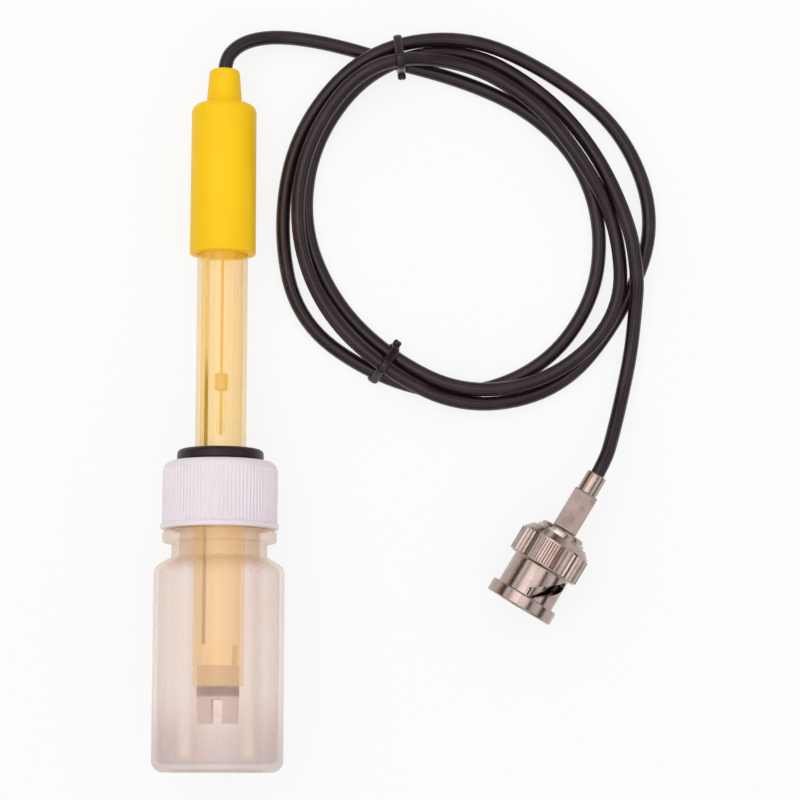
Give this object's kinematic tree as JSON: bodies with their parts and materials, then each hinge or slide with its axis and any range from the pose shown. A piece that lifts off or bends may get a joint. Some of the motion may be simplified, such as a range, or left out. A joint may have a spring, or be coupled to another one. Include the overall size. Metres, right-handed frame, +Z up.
{
  "type": "ph electrode",
  "caption": "Slim pH electrode with a capped tubular shaft in a screw-capped storage bottle, its thin cable coiled and tied, ending in a bayonet plug.",
  "frame": {"origin": "on the table under the middle of the electrode and bottle as they lie", "axes": "+Y along the electrode towards its cap, level with the table; +Z up; +X to the side of the coil"},
  "size_m": [0.0991, 0.1477, 0.0278],
  "materials": {
    "yellow_plastic": "smooth moulded",
    "amber_plastic": "clear, amber with the filling",
    "grey_plastic": "moulded",
    "clear_glass": "clear",
    "clear_plastic": "clear",
    "silver_wire": "drawn",
    "dark_wire": "dark coating",
    "black_rubber": "smooth",
    "white_plastic": "satin moulded",
    "milky_plastic": "milky, translucent",
    "cable_jacket": "smooth jacket",
    "tie_plastic": "coated wire tie",
    "nickel": "bright plate",
    "white_ceramic": "matt white",
    "compound": "set compound",
    "gilt_pin": "bright plate",
    "spring_steel": "plain"
  },
  "bodies": {
    "electrode": {"electrode_cap": "yellow_plastic", "body_tube": "amber_plastic", "bulb_guard": "grey_plastic", "glass_stem": "clear_glass", "element_sleeve": "clear_plastic", "inner_element": "silver_wire", "reference_wire": "dark_wire", "cable_lead_in": "cable_jacket", "cable_coil": "cable_jacket", "cable_lead_out": "cable_jacket", "tie_upper": "tie_plastic", "tie_lower": "tie_plastic", "crimp_ferrule": "nickel", "plug_body": "nickel", "lower_seal": "clear_plastic", "junction_plug": "white_ceramic", "stem_stopper": "clear_plastic", "stem_cork": "clear_plastic", "potting_plug": "compound", "pin_insulator": "white_ceramic", "centre_pin": "gilt_pin", "plug_gasket": "black_rubber", "spring_washer": "spring_steel", "retaining_ring": "spring_steel"},
    "ring": {"seal_ring": "black_rubber"},
    "cap": {"bottle_cap": "white_plastic"},
    "bottle": {"storage_bottle": "milky_plastic"},
    "washer": {"thrust_washer": "spring_steel"},
    "nut": {"coupling_nut": "nickel"}
  },
  "joints": [
    {"name": "electrode_pull", "type": "slide", "parent": "electrode", "child": "ring", "axis": [0, -0.9976, 0.0689], "range_m": [-0.006, 0.057]},
    {"name": "cap_turn", "type": "hinge", "parent": "ring", "child": "cap", "pos_m": [0, -0.00884, 0.01118], "axis": [0, 0.9976, -0.0689], "range_deg": [0, 450]},
    {"name": "bottle_travel", "type": "slide", "parent": "ring", "child": "bottle", "axis": [0, -0.9976, 0.0689], "range_m": [0, 0.0038]},
    {"name": "nut_slide", "type": "slide", "parent": "electrode", "child": "washer", "axis": [-0.515, -0.8572, 0], "range_m": [0, 0.0008], "stiffness_N_per_m": 1000, "deforming": ["spring_washer"]},
    {"name": "nut_turn", "type": "hinge", "parent": "washer", "child": "nut", "pos_m": [0.06641, -0.0233, 0.00735], "axis": [-0.515, -0.8572, 0], "continuous": true}
  ],
  "couplings": [
    {"joint": "bottle_travel", "follows": "cap_turn", "m_per_rad": 0.00047746}
  ]
}
